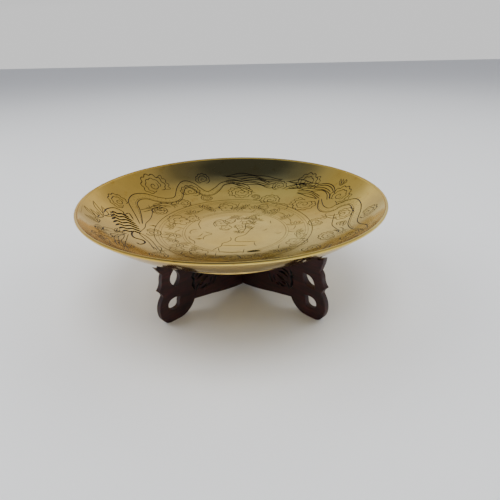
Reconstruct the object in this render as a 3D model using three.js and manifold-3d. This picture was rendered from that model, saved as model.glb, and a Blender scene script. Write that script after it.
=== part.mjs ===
// A round brass dish standing on a low folding cross stand.
//
// The stand is two crosspieces of thin hardwood board, each with two pierced arms that end in a carved
// leg. They are halved into each other and turn on one upright brass pin, so the stand folds flat.
// The dish lifts off: its soldered foot ring sits in the flats cut in the arms' top edges.
//
// Millimetres, +Z up. The origin is on the table, under the middle of the dish. -Y is the front.
// Heights are drawn from the underside of the hub, which the feet hold FOOT_DROP above the table.
// An arm's outline is drawn as (r, z): r is the distance out from the pin.

import * as THREE from 'three';
import { mergeVertices } from 'three/addons/utils/BufferGeometryUtils.js';
import Module from 'manifold-3d';

const wasm = await Module();
wasm.setup();

// Dish
const DISH_RADIUS = 150;
const RIM_HEIGHT = 99.5;
const RIM_BEAD_RADIUS = 1.4;
const DISH_WALL = 1.8;
const FLOOR_HEIGHT = 60.2;
const FLOOR_FLAT_RADIUS = 40;
const FOOT_RING_RADIUS = 88;
const FOOT_RING_WALL = 3.4;
const FOOT_RING_BOTTOM = 56.2;
const LATHE_SEGMENTS = 64;

// Stand
const PIN_X = 8.7;
const PIN_Y = 4.2;
const BOARD = 6.3;
const FACE_OFFSET = 0.2; // an arm's inner face stands this far to the side of the pin's centre line
const GAP = 0.3;
const HUB_RADIUS = 6.3;
const HUB_BOTTOM = 0;
const FOOT_DROP = 2.2;
const HUB_TOP = 26;
const LAP_HEIGHT = 13.5; // the upper crosspiece owns the hub above this height, the lower one below it
const LAP_SHOULDER = FACE_OFFSET + BOARD + 0.4; // where the cut-back half of an arm starts, out from the pin
const SEAT_HEIGHT = FOOT_RING_BOTTOM - GAP - 0.1;

// Pin and its washers
const PIN_RADIUS = 2;
const WASHER_THICKNESS = 1;
const WASHER_RADIUS = 4.6;
const RECESS_RADIUS = WASHER_RADIUS + GAP;
const RECESS_DEPTH = 2.6;
const PIN_HEAD_RADIUS = 3.4;
const PIN_HEAD_HEIGHT = 1.9;

// Each arm has its own head: the flat seat for the foot ring, the upright lip outside it, and the ear.
// side is where the board lies beside the pin's centre line, seen from above looking outwards, and half
// is the part of the hub's height that it keeps at the crossing.
const ARMS = {
  frontLeft: {
    angle: 225, side: 'left', half: 'upper',
    seat: [94.5, 99.5], shoulder: [70, 36], lip: [107, 59.2], notch: [108.4, 57],
    earTip: [112.8, 59.2], earBelly: [110, 54.6], earBase: [106.2, 50],
    upperEye: { centre: [93.2, 41.6], length: 18.4, width: 11.2, tilt: 85 },
    lowerEye: [97, 15.4],
  },
  backRight: {
    angle: 45, side: 'left', half: 'upper',
    seat: [77, 80], shoulder: [69, 50], lip: [98, 64.6], notch: [101.6, 62.4],
    earTip: [107.6, 65], earBelly: [107.4, 58], earBase: [104.8, 50],
    upperEye: { centre: [93.4, 37], length: 18.4, width: 10, tilt: 140 },
    lowerEye: [96.4, 13.8],
  },
  frontRight: {
    angle: 315, side: 'right', half: 'lower',
    seat: [83, 86], shoulder: [74, 51.5], lip: [99.6, 63.8], notch: [102.5, 61.5],
    earTip: [108.6, 63.9], earBelly: [108, 57.4], earBase: [104.7, 49.8],
    upperEye: { centre: [93.2, 36.2], length: 18.4, width: 10, tilt: 140 },
    lowerEye: [96.4, 13.4],
  },
  backLeft: {
    angle: 135, side: 'right', half: 'lower',
    seat: [89.3, 98], shoulder: [68, 37], lip: [104.8, 60.6], notch: [106.8, 58.4],
    earTip: [112, 61], earBelly: [109.6, 55.4], earBase: [106, 50],
    upperEye: { centre: [93.6, 41], length: 18.4, width: 11.2, tilt: 92 },
    lowerEye: [97, 15],
  },
};

// The lower hole of a leg is round, with a short spur drawn out towards the pin.
const LOWER_EYE = { width: 12.6, height: 12.2, spur: [-8.6, 5.2] };
// The fret between leg and hub: leaf-shaped slots that rise gently towards the pin.
const FRET_TILT = 166;
const FRET_SLOTS = [
  { centre: [59, 27.4], length: 12.5, width: 3.2 },
  { centre: [63.4, 23], length: 7.5, width: 2.8 },
  { centre: [55, 18.8], length: 7, width: 2.8 },
];

const ARC_STEPS = 7;

const material = (name, color, roughness, metalness) =>
  new THREE.MeshStandardMaterial({ name, color, roughness, metalness });
const yellowBrass = material('yellow brass', 0xc2a566, 0.3, 1);
const redwood = material('dark rosewood', 0x3b1d1b, 0.45, 0);
const pinBrass = material('pin brass', 0xa98a4c, 0.35, 1);

// ---- Solids: join and cut closed geometries -------------------------------------------------------

function toSolid(geometry) {
  const bare = geometry.clone();
  bare.deleteAttribute('normal');
  bare.deleteAttribute('uv');
  const merged = mergeVertices(bare, 1e-4);
  return new wasm.Manifold(new wasm.Mesh({
    numProp: 3,
    vertProperties: Float32Array.from(merged.attributes.position.array),
    triVerts: Uint32Array.from(merged.index.array),
  }));
}

function toGeometry(solid) {
  const mesh = solid.getMesh();
  const geometry = new THREE.BufferGeometry();
  geometry.setAttribute('position', new THREE.BufferAttribute(Float32Array.from(mesh.vertProperties), 3));
  geometry.setIndex(new THREE.BufferAttribute(Uint32Array.from(mesh.triVerts), 1));
  return geometry;
}

// An upright cylinder about the pin's axis, between two heights.
function post(radius, bottom, top, segments = 32) {
  const geometry = new THREE.CylinderGeometry(radius, radius, top - bottom, segments);
  geometry.rotateX(Math.PI / 2);
  geometry.translate(0, 0, (bottom + top) / 2);
  return geometry;
}

// A turned solid about the Z axis from an outline of (radius, height) points.
function turned(outline, segments = LATHE_SEGMENTS) {
  const geometry = new THREE.LatheGeometry(outline, segments);
  geometry.rotateX(Math.PI / 2);
  return geometry;
}

// ---- Stand ----------------------------------------------------------------------------------------

const polar = (centre, degrees, length) => {
  const angle = THREE.MathUtils.degToRad(degrees);
  return [centre[0] + length * Math.cos(angle), centre[1] + length * Math.sin(angle)];
};

// A pointed leaf between two tips, bulging by half its width to each side.
function leafHole({ centre, length, width }, tilt) {
  const tipA = polar(centre, tilt, length / 2);
  const tipB = polar(centre, tilt + 180, length / 2);
  const bulgeA = polar(centre, tilt + 90, width);
  const bulgeB = polar(centre, tilt - 90, width);
  const hole = new THREE.Path();
  hole.moveTo(...tipA);
  hole.quadraticCurveTo(...bulgeA, ...tipB);
  hole.quadraticCurveTo(...bulgeB, ...tipA);
  return hole;
}

// A round hole with a pointed spur, drawn from the spur's tip down one side, round and back up.
function spurredHole([x, z], { width, height, spur }) {
  const tip = [x + spur[0], z + spur[1]];
  const left = x - width / 2;
  const low = z - height * 0.6;
  const hole = new THREE.Path();
  hole.moveTo(...tip);
  hole.quadraticCurveTo(left, z + height * 0.2, left, z - height * 0.1);
  hole.bezierCurveTo(left, low, x + width * 0.3, low, x + width / 2, z - 1);
  hole.bezierCurveTo(x + width * 0.62, z + height * 0.55, x - width * 0.1, z + height * 0.72, ...tip);
  return hole;
}

// One arm with its leg, from the pin outwards, as a flat outline.
function armOutline(arm) {
  const [seatInner, seatOuter] = arm.seat;
  const outline = new THREE.Shape();
  // Inner end: the half lap at the pin.
  if (arm.half === 'upper') {
    outline.moveTo(0, HUB_TOP);
    outline.lineTo(0, LAP_HEIGHT + GAP / 2);
    outline.lineTo(LAP_SHOULDER, LAP_HEIGHT + GAP / 2);
    outline.lineTo(LAP_SHOULDER, HUB_BOTTOM);
  } else {
    outline.moveTo(LAP_SHOULDER, HUB_TOP);
    outline.lineTo(LAP_SHOULDER, LAP_HEIGHT - GAP / 2);
    outline.lineTo(0, LAP_HEIGHT - GAP / 2);
    outline.lineTo(0, HUB_BOTTOM);
  }
  // Underside: a long shallow arch that rises from the hub to the leg.
  outline.lineTo(8, HUB_BOTTOM);
  outline.bezierCurveTo(22, HUB_BOTTOM + 0.6, 36, 3.6, 51, 6.8);
  outline.quadraticCurveTo(62, 8.6, 72.8, 10.7);
  // Foot: a full round lobe with a short flat where it stands.
  outline.bezierCurveTo(76.5, 2.8, 84, -FOOT_DROP, 93, -FOOT_DROP);
  outline.lineTo(103, -FOOT_DROP);
  outline.bezierCurveTo(113.5, -0.5, 117, 17, 107.8, 27.6);
  // Outer edge: the pointed tooth at mid height, then the waist below the ear.
  outline.quadraticCurveTo(108.4, 31.6, 112, 34.4);
  outline.quadraticCurveTo(108.4, 37.6, 107.9, 43);
  outline.quadraticCurveTo(107.7, 46.6, ...arm.earBase);
  // Head: ear, lip, the seat of the foot ring, and the slope down to the hub.
  outline.quadraticCurveTo(...arm.earBelly, ...arm.earTip);
  outline.lineTo(...arm.notch);
  outline.lineTo(...arm.lip);
  outline.lineTo(seatOuter, SEAT_HEIGHT);
  outline.lineTo(seatInner, SEAT_HEIGHT);
  outline.bezierCurveTo(...arm.shoulder, 54, HUB_TOP, 20, HUB_TOP);
  outline.closePath();

  outline.holes.push(leafHole(arm.upperEye, arm.upperEye.tilt));
  outline.holes.push(spurredHole(arm.lowerEye, LOWER_EYE));
  FRET_SLOTS.forEach((slot) => outline.holes.push(leafHole(slot, FRET_TILT)));
  return outline;
}

// Extrude the outline to board thickness and turn it to its direction about the pin. The extrusion
// runs to the right of the outward direction.
function armGeometry(arm) {
  const geometry = new THREE.ExtrudeGeometry(armOutline(arm), {
    depth: BOARD, bevelEnabled: false, curveSegments: ARC_STEPS,
  });
  geometry.translate(0, 0, arm.side === 'right' ? FACE_OFFSET : -FACE_OFFSET - BOARD);
  const angle = THREE.MathUtils.degToRad(arm.angle);
  const outward = new THREE.Vector3(Math.cos(angle), Math.sin(angle), 0);
  const up = new THREE.Vector3(0, 0, 1);
  const right = new THREE.Vector3().crossVectors(outward, up);
  geometry.applyMatrix4(new THREE.Matrix4().makeBasis(outward, up, right));
  return geometry;
}

// Two arms and a round knuckle about the pin, between two heights.
function crosspiece(armA, armB, bottom, top) {
  return toSolid(armGeometry(armA))
    .add(toSolid(armGeometry(armB)))
    .add(toSolid(post(HUB_RADIUS, bottom, top)))
    .subtract(toSolid(post(PIN_RADIUS + GAP, bottom - 1, top + 1)));
}

function upperCrosspiece() {
  return toGeometry(crosspiece(ARMS.frontLeft, ARMS.backRight, LAP_HEIGHT + GAP / 2, HUB_TOP));
}

function lowerCrosspiece() {
  const solid = crosspiece(ARMS.frontRight, ARMS.backLeft, HUB_BOTTOM, LAP_HEIGHT - GAP / 2);
  return toGeometry(solid.subtract(toSolid(post(RECESS_RADIUS, HUB_BOTTOM - 1, HUB_BOTTOM + RECESS_DEPTH))));
}

// The pin is a rod with a domed head above its upper washer and a burred-over end in the recess.
const topWasherBottom = HUB_TOP + GAP;
const bottomWasherTop = HUB_BOTTOM + RECESS_DEPTH - GAP;

function pivotPin() {
  const headBottom = topWasherBottom + WASHER_THICKNESS + GAP;
  const headTop = headBottom + PIN_HEAD_HEIGHT;
  const burrTop = bottomWasherTop - WASHER_THICKNESS - GAP / 2;
  const burrBottom = burrTop - 0.9;
  const outline = new THREE.Path();
  outline.moveTo(0, burrBottom);
  outline.lineTo(2.8, burrBottom);
  outline.lineTo(3.2, burrTop);
  outline.lineTo(PIN_RADIUS, burrTop);
  outline.lineTo(PIN_RADIUS, headBottom);
  outline.lineTo(PIN_HEAD_RADIUS, headBottom);
  outline.quadraticCurveTo(PIN_HEAD_RADIUS * 0.9, headTop, 0, headTop);
  return turned(outline.getPoints(ARC_STEPS), 24);
}

function washer(bottom) {
  const inner = PIN_RADIUS + GAP;
  const outer = WASHER_RADIUS;
  const top = bottom + WASHER_THICKNESS;
  const corners = [[inner, bottom], [outer, bottom], [outer, top], [inner, top], [inner, bottom]];
  return turned(corners.map(([r, z]) => new THREE.Vector2(r, z)), 24);
}

// ---- Dish -----------------------------------------------------------------------------------------

// The inside of the dish from the edge of its flat floor to the foot of the rim bead.
const insideCurve = new THREE.SplineCurve([
  [FLOOR_FLAT_RADIUS, FLOOR_HEIGHT], [60, 61.9], [80.5, 65.6], [104, 71.2], [124, 79.8], [139, 90.6],
  [DISH_RADIUS - 2 * RIM_BEAD_RADIUS, RIM_HEIGHT - RIM_BEAD_RADIUS],
].map(([r, z]) => new THREE.Vector2(r, z)));

const INSIDE_STEPS = 11;

// The same curve moved out through the wall, square to it.
function underCurve(t) {
  const tangent = insideCurve.getTangent(t);
  return insideCurve.getPoint(t).add(new THREE.Vector2(tangent.y, -tangent.x).multiplyScalar(DISH_WALL));
}

const curveSteps = Array.from({ length: INSIDE_STEPS + 1 }, (_, step) => step / INSIDE_STEPS);

function dish() {
  const beadCentre = new THREE.Vector2(DISH_RADIUS - RIM_BEAD_RADIUS, RIM_HEIGHT - RIM_BEAD_RADIUS);
  const bead = [150, 120, 90, 60, 30, 0, -30, -60].map((degrees) => {
    const angle = THREE.MathUtils.degToRad(degrees);
    const outward = new THREE.Vector2(Math.cos(angle), Math.sin(angle));
    return beadCentre.clone().add(outward.multiplyScalar(RIM_BEAD_RADIUS));
  });
  const under = curveSteps.slice(0, -1).map(underCurve).reverse();
  const outline = [
    new THREE.Vector2(0, FLOOR_HEIGHT),
    ...curveSteps.map((t) => insideCurve.getPoint(t)),
    ...bead,
    ...under,
    new THREE.Vector2(0, FLOOR_HEIGHT - DISH_WALL),
  ];
  return turned(outline.reverse());
}

// The foot ring is a plain band whose top edge follows the underside of the dish.
function footRing() {
  const innerRadius = FOOT_RING_RADIUS - FOOT_RING_WALL;
  const undersideAt = (radius) => {
    const steps = Array.from({ length: 200 }, (_, step) => underCurve(step / 200));
    return steps.reduce((best, p) => (Math.abs(p.x - radius) < Math.abs(best.x - radius) ? p : best)).y;
  };
  const outline = [
    [innerRadius, FOOT_RING_BOTTOM], [FOOT_RING_RADIUS, FOOT_RING_BOTTOM],
    [FOOT_RING_RADIUS, undersideAt(FOOT_RING_RADIUS) - GAP - 0.1],
    [innerRadius, undersideAt(innerRadius) - GAP - 0.1],
    [innerRadius, FOOT_RING_BOTTOM],
  ];
  return turned(outline.map(([r, z]) => new THREE.Vector2(r, z)));
}

// ---- Assembly -------------------------------------------------------------------------------------

function part(name, geometry, finish) {
  const mesh = new THREE.Mesh(geometry, finish);
  mesh.name = name;
  return mesh;
}

const group = new THREE.Group();
group.position.z = FOOT_DROP;

const stand = new THREE.Group();
stand.position.set(PIN_X, PIN_Y, 0);
stand.add(part('upper_crosspiece', upperCrosspiece(), redwood));
stand.add(part('lower_crosspiece', lowerCrosspiece(), redwood));
stand.add(part('pivot_pin', pivotPin(), pinBrass));
stand.add(part('top_washer', washer(topWasherBottom), pinBrass));
stand.add(part('bottom_washer', washer(bottomWasherTop - WASHER_THICKNESS), pinBrass));
group.add(stand);

group.add(part('dish', dish(), yellowBrass));
group.add(part('dish_foot_ring', footRing(), yellowBrass));

export default group;
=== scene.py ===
import math
import random

import bmesh
import bpy
import numpy as np
from mathutils import Matrix, Vector, kdtree
from mathutils.geometry import delaunay_2d_cdt


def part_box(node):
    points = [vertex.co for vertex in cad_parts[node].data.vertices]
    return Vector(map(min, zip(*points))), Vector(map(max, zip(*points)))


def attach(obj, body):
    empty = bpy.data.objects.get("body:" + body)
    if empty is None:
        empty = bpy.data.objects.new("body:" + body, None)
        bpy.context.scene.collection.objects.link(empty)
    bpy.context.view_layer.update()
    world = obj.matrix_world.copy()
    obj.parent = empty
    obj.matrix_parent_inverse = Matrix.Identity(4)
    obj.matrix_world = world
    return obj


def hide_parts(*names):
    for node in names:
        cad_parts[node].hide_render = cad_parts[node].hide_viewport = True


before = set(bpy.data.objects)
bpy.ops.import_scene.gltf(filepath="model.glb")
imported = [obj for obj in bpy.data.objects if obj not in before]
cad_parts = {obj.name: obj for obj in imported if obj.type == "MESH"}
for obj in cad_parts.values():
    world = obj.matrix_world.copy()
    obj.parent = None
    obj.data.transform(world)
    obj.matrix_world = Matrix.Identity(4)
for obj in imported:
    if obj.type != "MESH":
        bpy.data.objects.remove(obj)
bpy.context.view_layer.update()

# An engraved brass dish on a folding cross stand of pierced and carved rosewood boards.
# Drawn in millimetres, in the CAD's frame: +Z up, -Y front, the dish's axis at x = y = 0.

MM = 0.001
SAME_POINT = 1e-4  # points closer than this are one
random.seed(7)

FOOT_DROP = 2.2  # the underside of the hub stands this far above the table

# Dish. Its inside and its bead are given as (radius, height), from the level floor up to the rim.
INSIDE_POINTS = [(40, 62.4), (60, 64.1), (80.5, 67.8), (104, 73.4), (124, 82), (139, 92.8), (147.2, 100.3)]
DISH_WALL = 1.8
BEAD_CENTRE = (148.6, 100.3)
BEAD_RADIUS = 1.4
ENGRAVED_RADIUS = 144.5
DISH_SEGMENTS = 256

# Engraving: how wide its lines are, and how deep
BOLD = 1.5
HAIR = 0.98
LINE = 0.88
FINE = 0.72
RING = 0.42
GROOVE_DEPTH = 0.34  # of depth for each millimetre of a line's width
GROOVE_STEP = 1.3  # between the points along a line
DARK_WIDTH = 0.7  # a line this wide or wider is fully dark
TAPER_LENGTH = 3  # from an open line's end to its full width
BODY_STEP = 1.5  # between the points along a beast's body or hair
MARK_GAP = 0.3
SHEET_RING_GAP = 3.4  # between the rings of points in the plain metal round the grooves
SHEET_POINT_GAP = 4

# Foot ring
RING_WIDTH = 3.4
RING_CHAMFER = 0.6
RING_BRASS = (0.70, 0.50, 0.15)

# Stand
PIN = Vector((8.7, 4.2))
FACE_OFFSET = 0.2  # from the pin's centre line to the inner face of a board
BOARD = 6.3
EDGE_ROUND = 0.6
EDGE_ROWS = (0, 0.134, 0.5, 1, 1.6)  # rows of points beside an edge, in parts of its rounding
CORNER_TURN = 42
KINK_TURN = 17
OUTLINE_STEP = 0.9
CARVING_DEPTH = 0.85  # of depth for each millimetre of a groove's width
CARVING_STEP = 0.8
HUB_TOP = FOOT_DROP + 26
HUB_RADIUS = 6.3
LAP_HEIGHT = FOOT_DROP + 13.5
GAP = 0.3
RECESS_TOP = FOOT_DROP + 2.6
RECESS_RADIUS = 4.9

# Pin and washers
PIN_HOLE = 2.3
PIN_RADIUS = 2
HEAD_RADIUS = 3.4
HEAD_EDGE = 0.3
DOME_HEIGHT = 1.6
WASHER_RADIUS = 4.6
WASHER_CHAMFER = 0.2
PIN_BRASS = (0.62, 0.47, 0.22)

# Surround: its brightness by height above the horizon, in degrees
SKY = [(0, 0.72), (3, 0.62), (7, 0.55), (13, 0.68), (19, 0.78), (22, 0.74), (26, 0.55), (31, 0.44),
       (40, 0.43), (48, 0.38), (55, 0.33), (61, 0.19), (65, 0.12), (71, 0.10), (77, 0.04)]
CEILING_STARTS = 48
CEILING_TINT = (0, 0.25, 1.6)  # how much more of each colour the darkest ceiling has than a grey one
SKY_STRENGTH = 1.2
SKY_POLE = Vector((-0.09, -0.08, 1)).normalized()  # towards the middle of the dark ceiling
SKY_WIDTH = 0.75  # the ceiling is wider from side to side than from front to back

# Lamps: name, place in metres and power. Lit from all round, the dish throws only a faint shadow.
LAMPS = [("left", (-1.3, 0.1, 1.2), 14), ("right", (1.3, 0.2, 1.2), 9), ("back", (0.1, 1.4, 1.3), 6),
         ("overhead", (0, -0.35, 1.7), 18)]
LAMP_WIDTH = 1.2

# Stage and camera
FLOOR_REACH = 4000
FLOOR_COLOUR = (0.86, 0.87, 0.86)
CAMERA_PLACE = Vector((16.5, -427.3, 242.87 + FOOT_DROP))
CAMERA_PITCH = math.radians(25.686)
CAMERA_ROLL = -0.0206
CAMERA_LENS = 32.285


# ---- Curves ---------------------------------------------------------------------------------------

def spline(points, steps=8):
    """Points along a uniform Catmull-Rom curve, with that many steps between neighbouring points."""
    points = np.asarray(points, float)
    last = len(points) - 1
    out = []
    for i in range(last):
        p0, p1, p2, p3 = points[max(i - 1, 0)], points[i], points[i + 1], points[min(i + 2, last)]
        v0, v1 = (p2 - p0) / 2, (p3 - p1) / 2
        for t in np.arange(steps) / steps:
            cubic, square = 2 * p1 - 2 * p2 + v0 + v1, 3 * p2 - 3 * p1 - 2 * v0 - v1
            out.append(cubic * t**3 + square * t**2 + v0 * t + p1)
    out.append(points[-1])
    return np.array(out)


def evenly(points, spacing):
    """The same line with its points about one spacing apart."""
    points = np.asarray(points, float)
    lengths = np.concatenate([[0], np.cumsum(np.linalg.norm(np.diff(points, axis=0), axis=1))])
    count = max(2, round(lengths[-1] / spacing) + 1)
    at = np.linspace(0, lengths[-1], count)
    return np.column_stack([np.interp(at, lengths, points[:, k]) for k in range(points.shape[1])])


def normals_of(points, closed):
    """The unit vector to the left of the line at each of its points."""
    if closed:
        ahead, behind = np.roll(points, -1, axis=0), np.roll(points, 1, axis=0)
    else:
        ahead, behind = np.vstack([points[1:], points[-1:]]), np.vstack([points[:1], points[:-1]])
    along = ahead - behind
    along /= np.maximum(np.linalg.norm(along, axis=1), 1e-9)[:, None]
    return np.column_stack([-along[:, 1], along[:, 0]])


def arc(x, y, radius, start, end, steps=24):
    """Points of a circular arc, in degrees."""
    angles = np.radians(np.linspace(start, end, steps))
    return np.column_stack([x + radius * np.cos(angles), y + radius * np.sin(angles)])


# ---- Grooves cut in a flat drawing ------------------------------------------------------------------

class Carving:
    """Grooves with a V section, drawn as lines on a flat sheet before it is shaped."""

    def __init__(self, depth_ratio, step):
        self.depth_ratio = depth_ratio
        self.step = step
        self.points = []
        self.edges = []
        self.marks = []  # points along the centre lines, each with the groove's half width there
        self.tree = None

    def line(self, points, width, taper=0.35, closed=False):
        """One groove. An open one narrows to taper of its width at both ends."""
        centre = evenly(points, self.step)
        if closed:
            centre = centre[:-1]
        count = len(centre)
        half = np.full(count, width / 2)
        if not closed:
            ends = np.minimum(np.arange(count), np.arange(count)[::-1]) * self.step / TAPER_LENGTH
            half *= taper + (1 - taper) * np.minimum(1, ends)
        side = normals_of(centre, closed) * half[:, None]
        base = len(self.points)
        for left, middle, right in zip(centre + side, centre, centre - side):
            self.points += [left, middle, right]
        for i in range(count if closed else count - 1):
            a, b = base + 3 * i, base + 3 * ((i + 1) % count)
            self.edges += [(a, b), (a + 1, b + 1), (a + 2, b + 2)]
        if not closed:
            last = base + 3 * (count - 1)
            self.edges += [(base, base + 1), (base + 1, base + 2), (last, last + 1), (last + 1, last + 2)]
        fine = evenly(np.vstack([centre, centre[:1]]) if closed else centre, MARK_GAP)
        share = np.linspace(0, count - 1, len(fine))
        self.marks += list(zip(fine, np.interp(share, np.arange(count), half)))

    def near(self, point):
        """(half width, distance) of the four marks nearest to a point."""
        if not self.tree:
            self.tree = kdtree.KDTree(len(self.marks))
            for i, ((x, y), _) in enumerate(self.marks):
                self.tree.insert((x, y, 0), i)
            self.tree.balance()
        return [(self.marks[i][1], away) for _, i, away in self.tree.find_n((*point, 0), 4)]

    def depths(self, points):
        """How deep the grooves are at each point."""
        return np.array([max(self.depth_ratio * 2 * max(0, half - away) for half, away in self.near(p))
                         for p in points])

    def tones(self, points):
        """How dark each point is: 1 in a groove, less in a very narrow one, and 0 outside them."""
        return np.array([max(min(1, 2 * half / DARK_WIDTH) if away < 0.92 * half else 0
                             for half, away in self.near(p)) for p in points])


def triangulated(points, edges):
    """The points and triangles of a flat sheet that has a line along every edge of the drawing."""
    made = delaunay_2d_cdt([Vector(p) for p in points], edges, [], 0, SAME_POINT, False)
    return np.array([tuple(p) for p in made[0]]), np.array(made[2])


# ---- Making pieces ----------------------------------------------------------------------------------

def new_mesh(name, points, faces):
    """A mesh in metres from points in millimetres."""
    mesh = bpy.data.meshes.new(name)
    mesh.from_pydata([tuple(MM * c for c in p) for p in points], [], faces)
    mesh.validate()
    return mesh


def add_piece(name, mesh, finish, body, node):
    """A piece of the object that rides a body and stands for a CAD node."""
    piece = bpy.data.objects.new(name, mesh)
    bpy.context.scene.collection.objects.link(piece)
    mesh.materials.clear()
    mesh.materials.append(finish)
    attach(piece, body)
    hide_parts(node)


def soften(mesh, degrees=32):
    """Smooth shading, with every edge sharper than the angle left crisp."""
    mesh.polygons.foreach_set("use_smooth", [True] * len(mesh.polygons))
    mesh.set_sharp_from_angle(angle=math.radians(degrees))


def turned(name, outline, segments=96, closed=False, centre=(0, 0)):
    """A mesh turned about an upright axis from (radius, height) points."""
    angles = np.linspace(0, 2 * math.pi, segments, endpoint=False)
    points, rings = [], []
    for radius, height in outline:
        if radius < 1e-6:
            rings.append([len(points)] * segments)
            points.append((centre[0], centre[1], height))
        else:
            rings.append([len(points) + k for k in range(segments)])
            points += [(centre[0] + radius * math.cos(a), centre[1] + radius * math.sin(a), height)
                       for a in angles]
    faces = []
    for low, high in zip(rings, rings[1:] + rings[:1] if closed else rings[1:]):
        for k in range(segments):
            n = (k + 1) % segments
            faces.append(list(dict.fromkeys([low[k], low[n], high[n], high[k]])))
    return new_mesh(name, points, faces)


# ---- Materials --------------------------------------------------------------------------------------

DEEP_BRASS = (0.70, 0.46, 0.085)
PALE_BRASS = (0.74, 0.57, 0.15)
# the amber of a painted sheen, mixed in on the dish's left side
LEFT_SHEEN_BRASS = (0.69, 0.44, 0.09)
TARNISH = (0.48, 0.30, 0.07)
STAIN = (0.55, 0.32, 0.04)
ENGRAVING_DIRT = (0.035, 0.022, 0.010)
DULL_BRASS = (0.28, 0.18, 0.08)
DARK_WOOD = (0.012, 0.004, 0.004)
RED_WOOD = (0.056, 0.012, 0.013)
SHADED_WOOD = (0.010, 0.005, 0.005)
# almost black: the painted shade in the carved grooves
PAINTED_CARVING_SHADE = (0.0015, 0.001, 0.001)


class Finish:
    """A node material under construction."""

    def __init__(self, name):
        self.material = bpy.data.materials.new(name)
        self.material.use_nodes = True
        self.nodes = self.material.node_tree.nodes
        self.links = self.material.node_tree.links
        self.shader = self.nodes["Principled BSDF"]

    def node(self, kind, **values):
        """A node with some of its properties and inputs set."""
        made = self.nodes.new(kind)
        for key, value in values.items():
            if hasattr(made, key):
                setattr(made, key, value)
            else:
                self.feed(made.inputs[key.replace("_", " ")], value)
        return made

    def feed(self, socket, value):
        """Gives an input its value, or links it to the output socket that makes it."""
        if isinstance(value, bpy.types.NodeSocket):
            self.links.new(value, socket)
        else:
            socket.default_value = value

    def set(self, **values):
        """Sets inputs of the surface's own shader."""
        for key, value in values.items():
            self.feed(self.shader.inputs[key.replace("_", " ")], value)

    def place(self, scale=(1, 1, 1), turn=0.0):
        """Object coordinates, turned about Z and stretched."""
        at = self.node("ShaderNodeTexCoord").outputs["Object"]
        mapping = self.node("ShaderNodeMapping", vector_type="TEXTURE", Vector=at, Rotation=(0, 0, turn),
                            Scale=scale)
        return mapping.outputs["Vector"]

    def noise(self, at, scale, detail=4.0, roughness=0.55):
        made = self.node("ShaderNodeTexNoise", Vector=at, Scale=scale, Detail=detail, Roughness=roughness)
        return made.outputs["Fac"]

    def ramp(self, value, stops):
        """A colour ramp from (position, colour or grey) stops."""
        made = self.node("ShaderNodeValToRGB", Fac=value)
        elements = made.color_ramp.elements
        while len(elements) < len(stops):
            elements.new(0.5)
        for element, (position, colour) in zip(elements, stops):
            element.position = position
            element.color = (*colour, 1) if isinstance(colour, tuple) else (colour, colour, colour, 1)
        return made.outputs["Color"]

    def mix(self, share, first, second):
        """A colour between two others."""
        made = self.node("ShaderNodeMix", data_type="RGBA")
        for socket, value in zip((made.inputs[0], made.inputs[6], made.inputs[7]), (share, first, second)):
            self.feed(socket, (*value, 1) if isinstance(value, tuple) else value)
        return made.outputs[2]

    def bump(self, height, strength, distance):
        made = self.node("ShaderNodeBump", Height=height, Strength=strength, Distance=distance)
        self.set(Normal=made.outputs["Normal"])


def dish_brass():
    """Polished yellow brass, with a painted warm sheen towards the left, tarnish, stains and black-brown in
    its grooves.
    """
    finish = Finish("dish_brass_polished")
    at = finish.place()
    broad = finish.noise(at, 7, 3)
    cloudy = finish.noise(at, 40, 6, 0.65)
    spotted = finish.noise(at, 95, 3, 0.5)
    metal = finish.ramp(broad, [(0.35, DEEP_BRASS), (0.65, PALE_BRASS)])
    # Painted sheen: the brass is coloured a warmer amber towards the left, as a reflection falls there.
    across = finish.node("ShaderNodeSeparateXYZ", Vector=at).outputs["X"]
    left_sheen_share = finish.node("ShaderNodeMapRange", Value=across, From_Min=0.05, From_Max=-0.15)
    metal = finish.mix(left_sheen_share.outputs["Result"], metal, LEFT_SHEEN_BRASS)
    metal = finish.mix(finish.ramp(cloudy, [(0.45, 0.0), (0.75, 0.35)]), metal, TARNISH)
    metal = finish.mix(finish.ramp(spotted, [(0.62, 0.0), (0.74, 0.6)]), metal, STAIN)
    engraved = finish.node("ShaderNodeAttribute", attribute_name="engraved").outputs["Fac"]
    finish.set(Base_Color=finish.mix(engraved, metal, ENGRAVING_DIRT), Metallic=1.0)
    finish.set(Roughness=finish.ramp(cloudy, [(0.3, 0.09), (0.8, 0.20)]))
    finish.bump(finish.noise(at, 28, 2), 0.10, 0.002)
    return finish.material


def plain_brass(name, colour):
    """Unpolished brass with dull patches."""
    finish = Finish(name)
    patches = finish.noise(finish.place(), 160, 5, 0.6)
    dull = finish.ramp(patches, [(0.4, 0.0), (0.75, 0.6)])
    finish.set(Base_Color=finish.mix(dull, colour, DULL_BRASS), Metallic=1.0)
    finish.set(Roughness=finish.ramp(patches, [(0.3, 0.28), (0.8, 0.5)]))
    return finish.material


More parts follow.
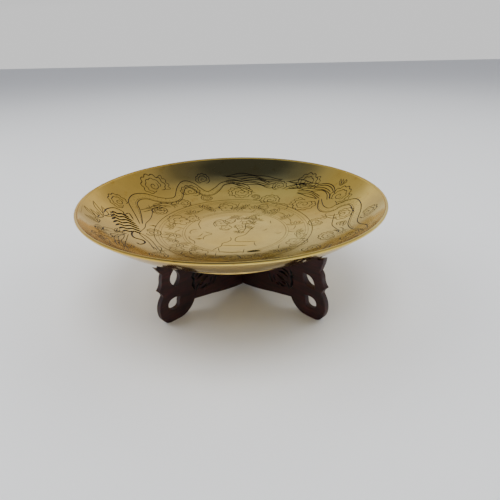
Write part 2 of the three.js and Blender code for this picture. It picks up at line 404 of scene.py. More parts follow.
def rosewood(name, grain_angle):
    """Near-black red-brown wood, its grain along the boards, with thin wax, and painted shade in the
    carving.
    """
    finish = Finish(name)
    at = finish.place(scale=(9, 1, 1), turn=grain_angle)
    streaks = finish.noise(at, 420, 5, 0.6)
    broad = finish.noise(finish.place(), 60, 3)
    wood = finish.ramp(streaks, [(0.35, DARK_WOOD), (0.7, RED_WOOD)])
    wood = finish.mix(finish.ramp(broad, [(0.4, 0.0), (0.7, 0.5)]), wood, SHADED_WOOD)
    # Painted shade: the carved grooves are coloured almost black, as deep recesses look in shadow.
    carved = finish.node("ShaderNodeAttribute", attribute_name="engraved").outputs["Fac"]
    wood = finish.mix(carved, wood, PAINTED_CARVING_SHADE)
    finish.set(Base_Color=wood, Roughness=finish.ramp(streaks, [(0.3, 0.42), (0.7, 0.55)]))
    finish.set(Specular_IOR_Level=0.28, Coat_Weight=0.05, Coat_Roughness=0.3)
    finish.bump(streaks, 0.25, 0.0004)
    return finish.material


# ---- Engraving: a small library of motifs -------------------------------------------------------------

dish_lines = Carving(GROOVE_DEPTH, GROOVE_STEP)


def stroke(points, width=LINE):
    """A smooth line through a few points."""
    dish_lines.line(spline(points), width)


def placed(shape, x, y, turn, size=1.0):
    """A motif's points after scaling, turning by degrees and moving."""
    a = math.radians(turn)
    shape = size * np.asarray(shape, float)
    return np.column_stack([x + shape[:, 0] * math.cos(a) - shape[:, 1] * math.sin(a),
                            y + shape[:, 0] * math.sin(a) + shape[:, 1] * math.cos(a)])


def scallops(x, y, radius, turn, count, sweep=300):
    """A ring of small outward bumps about a point, open on one side, with its ends curled in."""
    share = np.linspace(0, 1, 12 * count)
    angle = np.radians(turn + sweep * (share - 0.5))
    reach = radius * (0.84 + 0.16 * np.abs(np.sin(math.pi * count * share)))
    reach *= 1 - 0.3 * np.clip(1 - 9 * np.minimum(share, 1 - share), 0, 1)
    return np.column_stack([x + reach * np.cos(angle), y + reach * np.sin(angle)])


def cloud(x, y, radius, turn=0.0):
    """A curled cloud: a spiral inside two rings of scallops, with a wavy tail beside a large one."""
    dish_lines.line(scallops(x, y, radius, turn, 9), LINE)
    dish_lines.line(scallops(x, y, 0.66 * radius, turn + 25, 7), LINE - 0.1)
    turns = np.linspace(0, 1, 24)
    angle = np.radians(turn + 180 + 480 * turns)
    reach = radius * (0.04 + 0.36 * turns)
    dish_lines.line(np.column_stack([x + reach * np.cos(angle), y + reach * np.sin(angle)]), LINE - 0.1)
    if radius > 12:
        dish_lines.line(scallops(x, y, 1.3 * radius, turn - 95, 4, 80), LINE - 0.2)


def ribbon(points, width, ends=0.3):
    """A long winding body: two edges that draw in at the ends, with rows of scales between."""
    centre = evenly(spline(points), BODY_STEP)
    side = normals_of(centre, False)
    share = np.linspace(0, 1, len(centre))
    half = width / 2 * (ends + (1 - ends) * np.minimum(1, 6 * np.minimum(share, 1 - share)))[:, None]
    for across, line in ((1, LINE + 0.1), (-1, LINE + 0.1), (-0.62, RING + 0.1)):
        dish_lines.line(centre + across * half * side, line)
    for row, k in enumerate(range(3, len(centre) - 3, 3)):
        along = centre[k + 1] - centre[k]
        for across in ((-0.5, 0.5) if row % 2 else (0,)):
            middle = centre[k] + across * half[k] * side[k]
            tip = middle + 1.5 * along / np.linalg.norm(along)
            reach = 0.42 * half[k] * side[k]
            dish_lines.line(spline([middle - reach, tip, middle + reach], 4), RING)


def strands(points, count, gap, width=LINE, wave=0.8):
    """Locks of hair that spread from one root and close again towards their tips, each with a sway."""
    centre = evenly(spline(points), BODY_STEP)
    side = normals_of(centre, False)
    along = np.arange(len(centre)) * BODY_STEP
    spread = 0.35 + 0.65 * np.sin(math.pi * np.linspace(0.05, 0.9, len(centre)))
    for k in range(count):
        sway = wave * np.sin(along / random.uniform(3.6, 6.5) + 1.7 * k)
        line = centre + (k * gap * spread + sway)[:, None] * side
        start, end = random.randint(0, 6), len(line) - random.randint(0, 8)
        dish_lines.line(line[start:end], width, 0.2)


def ribs(start, end, width, count):
    """Bold bars, each with a hump in the middle, side by side across a belly."""
    bar = [(-1, -0.45), (-0.8, 0.12), (-0.35, 0.05), (0.05, 0.4), (0.5, 0.25), (1, 0.0)]
    for share in np.linspace(0, 1, count):
        x, y = (1 - share) * np.array(start, float) + share * np.array(end, float)
        size = width / 2 * (0.75 + 0.25 * math.sin(math.pi * share))
        dish_lines.line(placed(spline(bar), x, y, 4, size), BOLD + 1.1, 0.25)


def flame(x, y, turn, size):
    """Three curved licks that leave one point."""
    for reach, bend in ((1.0, 0.28), (0.85, -0.05), (0.7, -0.4)):
        tip = (reach, bend)
        below = spline([(0, 0), (0.4 * reach, bend - 0.22), tip])
        above = spline([(0, 0.06), (0.5 * reach, bend + 0.02), tip])
        dish_lines.line(placed(below, x, y, turn, size), LINE)
        dish_lines.line(placed(above, x, y, turn, size), FINE)


def claw(x, y, turn, size):
    """A limb of two lines that ends in four hooked toes."""
    dish_lines.line(placed(spline([(-1.2, 0.3), (-0.6, 0.42), (0, 0.16)]), x, y, turn, size), LINE)
    dish_lines.line(placed(spline([(-1.2, -0.3), (-0.6, -0.1), (0, -0.16)]), x, y, turn, size), LINE)
    toe = spline([(0, 0), (0.35, 0.12), (0.62, -0.06)])
    for angle in (-60, -15, 30, 75):
        dish_lines.line(placed(toe, x, y, turn + angle, size), LINE)


def leaf_spray(x, y, turn, size):
    """A thin stem with five narrow leaves that fan from its tip."""
    dish_lines.line(placed(spline([(-1, 0.1), (-0.4, -0.06), (0, 0)]), x, y, turn, size), FINE)
    for angle in turn + 34 * np.arange(-2, 3):
        dish_lines.line(placed(spline([(0.05, 0), (0.45, 0.13), (0.95, 0)]), x, y, angle, size), FINE)
        dish_lines.line(placed(spline([(0.05, 0), (0.45, -0.1), (0.95, 0)]), x, y, angle, size), FINE - 0.1)


def blossom(x, y, radius, turn):
    """Five round petals about a small eye."""
    for k in range(5):
        a = math.radians(turn + 72 * k)
        dish_lines.line(arc(x + 0.6 * radius * math.cos(a), y + 0.6 * radius * math.sin(a), 0.42 * radius,
                            turn + 72 * k - 120, turn + 72 * k + 120, 10), FINE)
    dish_lines.line(arc(x, y, 0.2 * radius, 0, 330, 8), FINE)


CLOUDS = [
    # x, y, radius, and the direction its open side faces away from
    (-96, 86, 15, 140), (-54, 93, 12, 90), (-41, 117, 9, 100), (-34, 84, 7, 250), (8, 97, 13, 270),
    (41, 74, 12, 70), (79, 52, 14, 225), (86, 92, 13, 60), (54, 100, 9, 80), (116, 45, 13, 20),
    (113, 4, 11, 330), (86, 3, 9, 180), (131, -20, 9, 330), (92, -39, 11, 150), (-124, 33, 11, 170),
    (-83, 42, 9, 300), (-81, -14, 9, 10), (-60, 66, 9, 60), (106, -58, 9, 300), (71, -64, 9, 300),
    (-96, -60, 9, 240), (-120, -44, 6, 200), (52, -98, 13, 300), (18, -118, 12, 270), (-4, -92, 11, 90),
    (-38, -104, 13, 240), (-64, -74, 9, 60), (-84, -88, 11, 220), (96, -80, 12, 320), (34, -84, 9, 100),
    (-116, -62, 7, 210), (24, 84, 6, 20),
]


def draw_rings():
    """Two sets of rings. The inner set is a little off the middle."""
    for x, y, radius, width in ((0, 0, 80.5, FINE), (0, 0, 76.5, RING), (0, 0, 73.8, RING),
                                (2, -1, 54.5, RING), (2, -1, 52, RING + 0.1)):
        dish_lines.line(arc(x, y, radius, 0, 360, 240), width, closed=True)


def draw_outer_band():
    """Long winding beasts of no particular kind among clouds."""
    for spot in CLOUDS:
        cloud(*spot)
    draw_left_beast()
    draw_right_beast()
    draw_near_beast()


def draw_left_beast():
    ribbon([(-95, 2), (-101, 19), (-107, 33), (-112, 44), (-110, 56), (-101, 64), (-88, 65), (-76, 68),
            (-67, 76), (-66, 94), (-62, 105), (-53, 105), (-44, 98), (-36, 93), (-29, 95), (-22, 104),
            (-15, 114), (0, 117)], 9)
    ribs((-117, 9), (-98, -23), 23, 7)
    stroke([(-130, -2), (-130, 8), (-125, 18), (-117, 18), (-114, 13), (-111, 19), (-104, 8)], BOLD - 0.3)
    stroke([(-91, 42), (-89, 29), (-89, 17), (-91, 6), (-90, -6), (-92, -21), (-86, -31), (-79, -41),
            (-70, -59)])
    stroke([(-93, -21), (-86, -25), (-78, -35), (-72, -46), (-66, -58), (-61, -62)])
    stroke([(-98, -18), (-98, -27), (-94, -35), (-85, -38), (-82, -44), (-85, -50), (-89, -47)], BOLD + 0.4)
    # The head, low on the left, with its horns and whiskers.
    for x, y, turn, size in ((-128, -8, 118, 20), (-131, -20, 140, 15), (-127, -30, 165, 12),
                             (-112, -32, 75, 9)):
        flame(x, y, turn, size)
    for x, y, radius, turn in ((-125, -40, 5, 0), (-116, -36, 6, 120), (-108, -34, 5, 60),
                               (-108, -44, 5, 200), (-115, -50, 6, 300)):
        dish_lines.line(scallops(x, y, radius, turn, 4, 260), LINE)
        dish_lines.line(arc(x, y, 0.4 * radius, turn, turn + 250, 10), FINE)
    strands([(-104, -26), (-108, -44), (-104, -62), (-94, -78)], 4, 3.2, FINE)
    strands([(-118, -52), (-114, -68), (-104, -80)], 3, 3.0, FINE)
    # The raised leg and its claw.
    stroke([(-103, 33), (-97, 40), (-91, 49), (-83, 58), (-75, 61), (-66, 61)])
    stroke([(-99, 31), (-94, 37), (-87, 46), (-79, 52), (-72, 54)])
    claw(-72, 58, 10, 12)
    claw(-90, 44, 205, 13)
    claw(-66, -60, 300, 11)
    flame(-92, 50, 30, 13)


def draw_right_beast():
    ribbon([(97, 54), (95, 38), (98, 27), (105, 23.5), (112, 26), (119, 25), (125.5, 20), (127, 8),
            (124.5, -4), (120, -15), (116, -27), (116, -40), (119, -54), (117, -70)], 8.5)
    stroke([(106, 12), (102, -1), (99, -13), (100, -23), (103, -36)])
    claw(98, 11, 150, 12)
    claw(103, -38, 280, 10)
    flame(120, 60, 60, 10)
    flame(112, -14, 230, 12)
    # Its mane, blown back along the far side.
    strands([(60, 90), (74, 88), (82, 82), (93, 73), (101, 68), (105, 58), (104, 46)], 5, 2.7, HAIR, 0.7)
    strands([(66, 80), (76, 76), (88, 64), (95, 52)], 4, 2.6, HAIR, 0.8)
    strands([(60, 104), (72, 98), (84, 90), (94, 84)], 3, 2.8, LINE, 1.0)
    # The far beast's mane meets it behind the middle.
    strands([(-14, 117), (2, 112), (16, 112), (30, 108), (42, 101), (54, 103)], 5, 2.6, HAIR, 0.9)
    strands([(-6, 110), (6, 105), (14, 97), (26, 93)], 4, 3.0, HAIR, 0.9)
    strands([(-18, 124), (4, 124), (26, 120), (44, 112), (60, 108)], 3, 2.8, LINE, 1.2)


def draw_near_beast():
    """The near side of the band, a guess: the near rim hides it."""
    ribbon([(-58, -92), (-42, -84), (-24, -104), (-8, -122), (10, -104), (30, -100), (44, -116), (62, -112),
            (74, -92), (88, -66)], 8)
    ribs((60, -108), (84, -88), 14, 6)
    claw(-10, -106, 40, 12)
    claw(52, -82, 120, 11)


LEAVES = [
    # x, y, turn, size
    (-46, 44, 120, 11), (-36, 58, 60, 11), (-62, 8, 170, 11), (-60, -8, 250, 12), (-52, -33, 300, 12),
    (-58, -24, 240, 10), (44, -52, 270, 13), (26, -64, 200, 9), (63, -12, 330, 10), (64, 6, 80, 11),
    (58, 26, 110, 11), (48, 43, 140, 12), (38, 49, 200, 9), (24, 57, 60, 10), (14, 62, 130, 9),
    (4, 63, 265, 11), (-24, 59, 210, 9), (-40, -44, 350, 9), (-14, -64, 280, 10),
]
BLOSSOMS = [
    # x, y, radius, turn
    (-57, 24, 9, 10), (-45, 32, 7, 50), (-10, 62, 8, 30), (-52, -50, 7, 0), (-31, -55, 9, 20),
    (0, -68, 8, 60), (60, -38, 9, 40), (67, -24, 5, 0), (12, -68, 6, 10), (-68, -18, 5, 30),
    (33, 60, 6, 45),
]


def draw_flower_band():
    """Sprays of leaves, blossoms and wavy outlines between the two sets of rings."""
    for spot in LEAVES:
        leaf_spray(*spot)
    for spot in BLOSSOMS:
        blossom(*spot)
    for x, y, radius, turn in ((-60, 26, 12, 170), (60, -40, 12, 320), (-34, -58, 13, 250),
                               (-8, 62, 12, 90), (52, 54, 9, 40)):
        dish_lines.line(scallops(x, y, radius, turn, 6, 200), FINE)


def draw_medallion():
    """A vase of flowers on a low table, with rocks beside it."""
    vase = [[(-3, -16), (-2, -23), (-5, -28), (-10, -31), (-11, -37), (-15, -42), (-19, -49)],
            [(22, 10), (17, 1), (12, -11), (4, -17), (2, -23), (5, -28), (23, -28)],
            [(-10, -36), (3, -37), (14, -37)], [(21, -29), (21, -35), (23, -40)],
            [(-13, -41), (-13, -47), (-11, -53)], [(11, -46), (10, -56)], [(-11, -52), (0, -54), (11, -53)]]
    bouquet = [[(-19, 10), (-22, 20), (-19, 28), (-12, 33)],
               [(-13, 30), (-10, 22), (-5, 18), (-1, 22), (2, 30)], [(-16, 8), (-13, 3), (-7, 1), (-3, 5)],
               [(0, 14), (4, 4), (6, -8)], [(12, 18), (12, 4), (8, -8)]]
    rocks = [[(-36, 31), (-38, 20), (-36, 11), (-34, 5)], [(-38, 5), (-43, 3), (-45, -3), (-43, -7)],
             [(-30, -1), (-27, -4), (-22, -8), (-28, -12), (-30, -18), (-29, -22)],
             [(-31, -5), (-33, -10), (-35, -14)], [(-45, -13), (-43, -20), (-38, -26), (-37, -33)]]
    birds = [[(30, -2), (33, 0), (35, 4)], [(42, -8), (46, -11), (49, -8)], [(40, 25), (39, 20), (40, 16)]]
    for points in (*vase, *bouquet, *rocks, *birds):
        stroke(points, FINE)
    for x, y, turn, size in ((8, 30, 80, 9), (16, 30, 70, 9), (24, 26, 60, 9), (17, 20, 20, 9),
                             (2, 36, 110, 8), (14, 6, 40, 8), (6, -2, 250, 7), (24, 38, 80, 7)):
        leaf_spray(x, y, turn, size)
    for x, y, radius in ((-13, 20, 8), (-4, 28, 6), (14, 20, 6), (-8, 9, 6), (5, 10, 5), (20, 34, 5)):
        blossom(x, y, radius, 10 * x)


def draw_pits():
    """Old dark pits, and a short bruise of three dents."""
    for x, y in ((-83, 3), (-34, -19.5), (14, 18.5)):
        dish_lines.line([(x - 1.2, y), (x + 1.2, y)], 2.2, 0.8)
    for y in (-51, -52.6, -54.2):
        dish_lines.line([(14, y - 0.6), (20, y), (26, y + 0.8)], 1.5, 0.6)


def draw_dish():
    draw_rings()
    draw_outer_band()
    draw_flower_band()
    draw_medallion()
    draw_pits()


# ---- Dish ---------------------------------------------------------------------------------------------

inside = spline(INSIDE_POINTS, 60)


def inside_height(radius):
    return np.interp(radius, inside[:, 0], inside[:, 1], left=INSIDE_POINTS[0][1])


def inside_slope(radius):
    step = 0.4
    return (inside_height(radius + step) - inside_height(radius - step)) / (2 * step)


def engraved_sheet():
    """The inside of the dish: its points, its triangles, and how dark a groove makes each triangle."""
    points = list(dish_lines.points)
    for radius in np.arange(2.5, ENGRAVED_RADIUS - 1.5, SHEET_RING_GAP):
        count = max(6, round(2 * math.pi * radius / SHEET_POINT_GAP))
        points += list(arc(0, 0, radius, 0, 360 - 360 / count, count))
    points += list(arc(0, 0, ENGRAVED_RADIUS, 0, 360 - 360 / DISH_SEGMENTS, DISH_SEGMENTS))
    flat, triangles = triangulated(points, dish_lines.edges)
    return flat, triangles, dish_lines.tones(flat[triangles].mean(axis=1))


def dish_outside():
    """(radius, height) from the edge of the engraved sheet over the rim and down to the middle below."""
    wall = [p for p in inside[::6] if p[0] > ENGRAVED_RADIUS]
    bead = [(BEAD_CENTRE[0] + BEAD_RADIUS * math.cos(a), BEAD_CENTRE[1] + BEAD_RADIUS * math.sin(a))
            for a in np.radians(np.linspace(150, -60, 15))]
    under = inside - DISH_WALL * normals_of(inside, False)
    floor = (0, INSIDE_POINTS[0][1] - DISH_WALL)
    return [tuple(p) for p in wall] + bead + [tuple(p) for p in under[-2::-8]] + [floor]


def sheet_normals(flat):
    """The normals of the smooth inside, as if it had no grooves."""
    radius = np.hypot(flat[:, 0], flat[:, 1])
    slope = inside_slope(radius)
    safe = np.maximum(radius, 1e-6)
    up = np.column_stack([-slope * flat[:, 0] / safe, -slope * flat[:, 1] / safe, np.ones(len(flat))])
    return [Vector(n).normalized() for n in up]


def add_dish_outside(flat, points, normals, faces):
    """Adds the turned outside, which starts from the sheet's own rim points."""
    by_angle = {round(math.atan2(y, x) / (2 * math.pi) * DISH_SEGMENTS) % DISH_SEGMENTS: i
                for i, (x, y) in enumerate(flat) if math.hypot(x, y) > ENGRAVED_RADIUS - 0.01}
    previous = [by_angle[k] for k in range(DISH_SEGMENTS)]
    profile = np.array([(ENGRAVED_RADIUS, float(inside_height(ENGRAVED_RADIUS)))] + dish_outside())
    across = normals_of(profile, False)
    angles = np.linspace(0, 2 * math.pi, DISH_SEGMENTS, endpoint=False)
    for (r, z), (nr, nz) in list(zip(profile, across))[1:]:
        if r < 1e-6:
            points.append((0, 0, z))
            normals.append(Vector((0, 0, -1)))
            ring = [len(points) - 1] * DISH_SEGMENTS
        else:
            ring = [len(points) + k for k in range(DISH_SEGMENTS)]
            points += [(r * math.cos(a), r * math.sin(a), z) for a in angles]
            normals += [Vector((nr * math.cos(a), nr * math.sin(a), nz)) for a in angles]
        for k in range(DISH_SEGMENTS):
            n = (k + 1) % DISH_SEGMENTS
            faces.append(list(dict.fromkeys([previous[k], ring[k], ring[n], previous[n]])))
        previous = ring


def build_dish():
    """The engraved inside and the turned outside as one closed mesh."""
    flat, triangles, cut = engraved_sheet()
    height = inside_height(np.hypot(flat[:, 0], flat[:, 1])) - dish_lines.depths(flat)
    points = [(x, y, z) for (x, y), z in zip(flat, height)]
    normals = sheet_normals(flat)
    faces = [[int(i) for i in t] for t in triangles]
    add_dish_outside(flat, points, normals, faces)
    mesh = bpy.data.meshes.new("dish")
    mesh.from_pydata([tuple(MM * c for c in p) for p in points], [], faces)
    in_groove = np.zeros(len(faces))
    in_groove[:len(cut)] = cut
    mark_grooves(mesh, in_groove)
    mesh.polygons.foreach_set("use_smooth", [True] * len(mesh.polygons))

    # The metal shades as one smooth sheet, and each side of a groove as a flat cut.
    corner = [None] * len(mesh.loops)
    for poly in mesh.polygons:
        for loop in poly.loop_indices:
            corner[loop] = poly.normal if in_groove[poly.index] else normals[mesh.loops[loop].vertex_index]
    mesh.normals_split_custom_set([tuple(n) for n in corner])
    add_piece("engraved_dish", mesh, dish_brass(), "loose_dish", "dish")


def build_foot_ring():
    """A flat band with chamfered lower edges. Its top slopes with the underside of the dish."""
    low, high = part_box("dish_foot_ring")
    outer = high[0] / MM
    inner = outer - RING_WIDTH
    bottom, top = low[2] / MM, high[2] / MM
    outline = [(inner, bottom + RING_CHAMFER), (inner + RING_CHAMFER, bottom),
               (outer - RING_CHAMFER, bottom), (outer, bottom + RING_CHAMFER),
               (outer, top - 0.2), (inner, top - 0.9)]
    mesh = turned("foot_ring", outline, 192, closed=True)
    soften(mesh)
    brass = plain_brass("foot_ring_brass", RING_BRASS)
    add_piece("foot_ring", mesh, brass, "loose_dish", "dish_foot_ring")


# ---- Stand --------------------------------------------------------------------------------------------

def board_loops(node, outward, side):
    """The outline and holes of one arm, as (r, z) loops, from the outer face of its CAD board."""
    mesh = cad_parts[node].data
    offset = FACE_OFFSET + BOARD
    pin = Vector((*PIN, 0))
    edges = {}
    for poly in mesh.polygons:
        centre = poly.center / MM - pin
        if poly.normal.dot(side) < 0.99 or abs(centre.dot(side) - offset) > 0.05 or centre.dot(outward) < 0:
            continue
        corners = [mesh.vertices[i].co / MM - pin for i in poly.vertices]
        keys = [(round(c.dot(outward), 3), round(c.z, 3)) for c in corners]
        for a, b in zip(keys, keys[1:] + keys[:1]):
            if (b, a) in edges:
                del edges[(b, a)]
            else:
                edges[(a, b)] = True
    following = dict(edges.keys())
    loops = []
    while following:
        start, point = next(iter(following.items()))
        loop = [start]
        del following[start]
        while point != start:
            loop.append(point)
            point = following.pop(point)
        loops.append(np.array(loop))
    return sorted(loops, key=len, reverse=True)


def turning(points):
    """The change of direction at each point of a closed line, in degrees."""
    ahead = np.roll(points, -1, axis=0) - points
    angle = np.degrees(np.arctan2(ahead[:, 1], ahead[:, 0]))
    return np.abs((angle - np.roll(angle, 1) + 180) % 360 - 180)


def rounded_loop(points):
    """A closed line through the same points that curves smoothly everywhere except at true corners.

    A corner turns sharply, or clearly more than a point beside it."""
    turn = turning(points)
    beside = np.minimum(np.roll(turn, 1), np.roll(turn, -1))
    corner = (turn > CORNER_TURN) | ((turn > KINK_TURN) & (beside < 0.45 * turn))
    step = np.roll(points, -1, axis=0) - points
    length = np.linalg.norm(step, axis=1)
    unit = step / length[:, None]
    before, unit_before = np.roll(length, 1)[:, None], np.roll(unit, 1, axis=0)
    tangent = length[:, None] * unit_before + before * unit
    tangent /= np.linalg.norm(tangent, axis=1)[:, None]
    out = []
    for i in range(len(points)):
        n = (i + 1) % len(points)
        start = unit[i] if corner[i] else tangent[i]
        end = unit[i] if corner[n] else tangent[n]
        count = max(1, round(length[i] / OUTLINE_STEP))
        for t in np.arange(count) / count:
            out.append((2 * t**3 - 3 * t**2 + 1) * points[i] + (3 * t**2 - 2 * t**3) * points[n]
                       + length[i] * ((t**3 - 2 * t**2 + t) * start + (t**3 - t**2) * end))
    return np.array(out)


def edge_distance(points, loops):
    """The distance of each point from the nearest of the closed lines."""
    best = np.full(len(points), np.inf)
    for loop in loops:
        a, b = loop, np.roll(loop, -1, axis=0)
        ab = b - a
        squared = np.maximum((ab**2).sum(axis=1), 1e-12)
        for i in range(len(loop)):
            ap = points - a[i]
            t = np.clip(ap @ ab[i] / squared[i], 0, 1)
            best = np.minimum(best, np.linalg.norm(ap - t[:, None] * ab[i], axis=1))
    return best


def carve_board(arm_lines):
    """The fret carved between the leg and the hub: two brackets and the leaves between them."""
    leg_bracket = [(70.5, 40), (73.6, 35), (72.2, 31.5), (73.8, 27.5), (72.4, 20.5)]
    hub_bracket = [(44, 27), (45.2, 23), (49, 18)]
    leaves = [[(57, 33.6), (63, 33.6), (68.6, 30.6)], [(66, 25), (69, 22.8), (70.5, 18.5)],
              [(49, 26.5), (52.5, 21.5)], [(56.5, 21.2), (61, 19.2), (65, 19.2)],
              [(60.5, 38), (66, 37), (69, 34.5)]]
    for points, width in ((leg_bracket, 3.0), (hub_bracket, 2.2), *((leaf, 2.2) for leaf in leaves)):
        arm_lines.line(spline([(r, z + FOOT_DROP) for r, z in points]), width)


def inside_loops(points, loops):
    """Whether each point lies inside the outline and outside its holes."""
    inside_any = np.zeros(len(points), bool)
    for loop in loops:
        a, b = loop, np.roll(loop, -1, axis=0)
        for (ax, ay), (bx, by) in zip(a, b):
            if ay != by:
                crosses = (points[:, 1] < ay) != (points[:, 1] < by)
                inside_any ^= crosses & (points[:, 0] < ax + (points[:, 1] - ay) * (bx - ax) / (by - ay))
    return inside_any


def arm_mesh(name, loops, outward, side):
    """A board with rounded edges and the same carving on both of its faces."""
    on_table = (-np.inf, 0)
    loops = [np.maximum(rounded_loop(loop), on_table) for loop in loops]
    lines = Carving(CARVING_DEPTH, CARVING_STEP)
    carve_board(lines)
    points, edges = list(lines.points), list(lines.edges)
    for loop in loops:
        inward = normals_of(loop, True)
        start = len(points)
        edges += [(start + k, start + (k + 1) % len(loop)) for k in range(len(loop))]
        for share in EDGE_ROWS:
            points += list(loop + share * EDGE_ROUND * inward)
    flat, triangles = triangulated(points, edges)
    triangles = triangles[inside_loops(flat[triangles].mean(axis=1), loops)]
    near = np.clip(edge_distance(flat, loops), 0, EDGE_ROUND)
    depth = EDGE_ROUND - np.sqrt(EDGE_ROUND**2 - (EDGE_ROUND - near)**2)
    depth = np.maximum(depth, lines.depths(flat))

    def on_board(r, z, sideways):
        return Vector((*PIN, float(z))) + float(r) * outward + float(sideways) * side

    solid = [on_board(r, z, FACE_OFFSET + BOARD - d) for (r, z), d in zip(flat, depth)]
    solid += [on_board(r, z, FACE_OFFSET + d) for (r, z), d in zip(flat, depth)]
    count = len(flat)
    faces = [[int(i) for i in t] for t in triangles]
    used = {(t[i], t[(i + 1) % 3]) for t in faces for i in range(3)}
    walls = [[b, a, a + count, b + count] for a, b in used if (b, a) not in used]
    faces += [[i + count for i in reversed(t)] for t in faces] + walls
    mesh = new_mesh(name, solid, faces)
    tones = lines.tones(flat[triangles].mean(axis=1))
    mark_grooves(mesh, np.concatenate([tones, tones, np.zeros(len(walls))]))
    tidy_mesh(mesh)
    return mesh


def mark_grooves(mesh, tones):
    """Stores how dark each face is for the material to read."""
    tone = mesh.attributes.new("engraved", "FLOAT", "FACE")
    tone.data.foreach_set("value", np.asarray(tones, float))


def tidy_mesh(mesh):
    """Drops loose points and turns every face outwards."""
    work = bmesh.new()
    work.from_mesh(mesh)
    bmesh.ops.delete(work, geom=[v for v in work.verts if not v.link_faces], context="VERTS")
    bmesh.ops.recalc_face_normals(work, faces=work.faces)
    work.to_mesh(mesh)
    work.free()


def combined(name, start, steps):
    """The start mesh with other closed meshes joined to it or cut from it, in order."""
    base = bpy.data.objects.new(name, start)
    bpy.context.scene.collection.objects.link(base)
    tools = []
    for kind, mesh in steps:
        tool = bpy.data.objects.new(f"{name}_tool", mesh)
        bpy.context.scene.collection.objects.link(tool)
        tools.append(tool)
        modifier = base.modifiers.new(kind, "BOOLEAN")
        modifier.operation = kind
        modifier.solver = "EXACT"
        modifier.object = tool
    bpy.context.view_layer.update()
    made = bpy.data.meshes.new_from_object(base.evaluated_get(bpy.context.evaluated_depsgraph_get()))
    made.name = name
    for extra in (base, *tools):
        bpy.data.objects.remove(extra)
    return made


def post(radius, bottom, top):
    """A closed cylinder about the pin's centre line."""
    mesh = turned("post", [(0, top), (radius, top), (radius, bottom), (0, bottom)], 48, centre=PIN)
    tidy_mesh(mesh)
    return mesh


def build_crosspiece(half, angle, sign, bottom, top, body, cuts):
    """Two arms on opposite sides of the pin's centre line, joined by a round hub and bored for the pin."""
    node, name = f"{half}_crosspiece", f"{half}_boards"
    arms = []
    for degrees in (angle, angle + 180):
        a = math.radians(degrees)
        outward = Vector((math.cos(a), math.sin(a), 0))
        side = sign * Vector((-math.sin(a), math.cos(a), 0))
        arms.append(arm_mesh(f"{name}_arm", board_loops(node, outward, side), outward, side))
    steps = [("UNION", arms[1]), ("UNION", post(HUB_RADIUS, bottom + 0.05, top - 0.05))]
    steps += [("DIFFERENCE", post(*cut)) for cut in cuts]
    mesh = combined(name, arms[0], steps)
    soften(mesh, degrees=35)
    wood = rosewood(f"rosewood_{half}", math.radians(angle))
    add_piece(name, mesh, wood, body, node)


def build_stand():
    """The two crosspieces, each with one half of the halved joint in its hub."""
    upper_bottom, lower_top = LAP_HEIGHT + GAP / 2, LAP_HEIGHT - GAP / 2
    build_crosspiece("upper", 45, 1, upper_bottom, HUB_TOP, "stand",
                     [(PIN_HOLE, upper_bottom - 2, HUB_TOP + 2)])
    build_crosspiece("lower", 135, -1, FOOT_DROP, lower_top, "folding_half",
                     [(PIN_HOLE, 0, lower_top + 2), (RECESS_RADIUS, 0, RECESS_TOP)])


def build_pin():
    """The pin, with a domed head and a burred-over lower end, and its two washers."""
    brass = plain_brass("pin_brass_dull", PIN_BRASS)
    bottom, top = (corner[2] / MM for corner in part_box("pivot_pin"))
    shoulder = top - HEAD_EDGE - DOME_HEIGHT
    dome = [(HEAD_RADIUS * math.sin(a), shoulder + HEAD_EDGE + DOME_HEIGHT * math.cos(a))
            for a in np.radians(np.linspace(0, 90, 10))]
    shank = [(HEAD_RADIUS, shoulder), (PIN_RADIUS, shoulder), (PIN_RADIUS, bottom + 0.9)]
    burr = [(3.1, bottom + 0.8), (2.8, bottom + 0.2), (2.4, bottom), (0, bottom)]
    mesh = turned("pin", dome + shank + burr, 48, centre=PIN)
    tidy_mesh(mesh)
    soften(mesh)
    add_piece("pin", mesh, brass, "stand", "pivot_pin")
    for node in ("top_washer", "bottom_washer"):
        low, high = (corner[2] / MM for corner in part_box(node))
        flat = WASHER_RADIUS - WASHER_CHAMFER
        outline = [(PIN_HOLE, low), (flat, low), (WASHER_RADIUS, low + WASHER_CHAMFER),
                   (WASHER_RADIUS, high - WASHER_CHAMFER), (flat, high), (PIN_HOLE, high)]
        mesh = turned(node, outline, 48, closed=True, centre=PIN)
        tidy_mesh(mesh)
        soften(mesh)
        add_piece(f"{node}_turned", mesh, brass, "stand", node)


# ---- Stage --------------------------------------------------------------------------------------------

def build_stage():
    """A plain pale floor."""
    corners = [(x * FLOOR_REACH, y * FLOOR_REACH, 0) for x, y in ((-1, -1), (1, -1), (1, 1), (-1, 1))]
    floor = new_mesh("floor", corners, [(0, 1, 2, 3)])
    table = bpy.data.objects.new("floor", floor)
    bpy.context.scene.collection.objects.link(table)
    finish = Finish("floor_white")
    finish.set(Base_Color=(*FLOOR_COLOUR, 1), Roughness=0.6)
    floor.materials.append(finish.material)


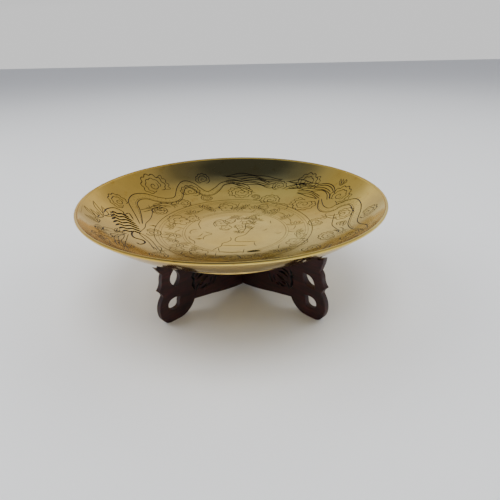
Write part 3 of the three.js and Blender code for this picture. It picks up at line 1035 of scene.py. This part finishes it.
def build_world():
    """An even, bright surround that fades to a dark, bluish ceiling overhead."""
    world = bpy.data.worlds.new("studio")
    bpy.context.scene.world = world
    world.use_nodes = True
    nodes, links = world.node_tree.nodes, world.node_tree.links
    at = nodes.new("ShaderNodeTexCoord")
    narrow, unit, height = (nodes.new("ShaderNodeVectorMath") for _ in range(3))
    narrow.operation, unit.operation, height.operation = "MULTIPLY", "NORMALIZE", "DOT_PRODUCT"
    narrow.inputs[1].default_value = (SKY_WIDTH, 1, 1)
    height.inputs[1].default_value = SKY_POLE
    links.new(at.outputs["Generated"], narrow.inputs[0])
    links.new(narrow.outputs["Vector"], unit.inputs[0])
    links.new(unit.outputs["Vector"], height.inputs[0])
    ramp = nodes.new("ShaderNodeValToRGB")
    links.new(height.outputs["Value"], ramp.inputs["Fac"])
    elements = ramp.color_ramp.elements
    while len(elements) < len(SKY):
        elements.new(0.5)
    for element, (degrees, level) in zip(elements, SKY):
        element.position = math.sin(math.radians(degrees))
        share = max(0, (degrees - CEILING_STARTS) / (SKY[-1][0] - CEILING_STARTS))
        element.color = [level * (1 + share * tint) for tint in CEILING_TINT] + [1]
    background = nodes["Background"]
    links.new(ramp.outputs["Color"], background.inputs["Color"])
    background.inputs["Strength"].default_value = SKY_STRENGTH


def soft_light(name, place, power):
    """A large lamp that lights the scene but isn't mirrored in the brass."""
    data = bpy.data.lights.new(name, "AREA")
    data.shape = "DISK"
    data.size = LAMP_WIDTH
    data.energy = power
    light = bpy.data.objects.new(name, data)
    light.location = place
    light.visible_glossy = False
    light.rotation_euler = (-Vector(place)).to_track_quat("-Z", "Y").to_euler()
    bpy.context.scene.collection.objects.link(light)


def build_camera():
    """A camera in front of the dish, looking down and slightly rolled."""
    forward = Vector((0, math.cos(CAMERA_PITCH), -math.sin(CAMERA_PITCH)))
    right, up = Vector((1, 0, 0)), Vector((0, math.sin(CAMERA_PITCH), math.cos(CAMERA_PITCH)))
    rolled_right = math.cos(CAMERA_ROLL) * right + math.sin(CAMERA_ROLL) * up
    rolled_up = math.cos(CAMERA_ROLL) * up - math.sin(CAMERA_ROLL) * right
    data = bpy.data.cameras.new("camera")
    data.lens = CAMERA_LENS
    data.sensor_width = 36
    camera = bpy.data.objects.new("camera", data)
    turn = Matrix((rolled_right, rolled_up, -forward)).transposed().to_4x4()
    camera.matrix_world = Matrix.Translation(CAMERA_PLACE * MM) @ turn
    bpy.context.scene.collection.objects.link(camera)
    bpy.context.scene.camera = camera


draw_dish()
build_dish()
build_foot_ring()
build_stand()
build_pin()
build_stage()
build_world()
for lamp in LAMPS:
    soft_light(*lamp)
build_camera()
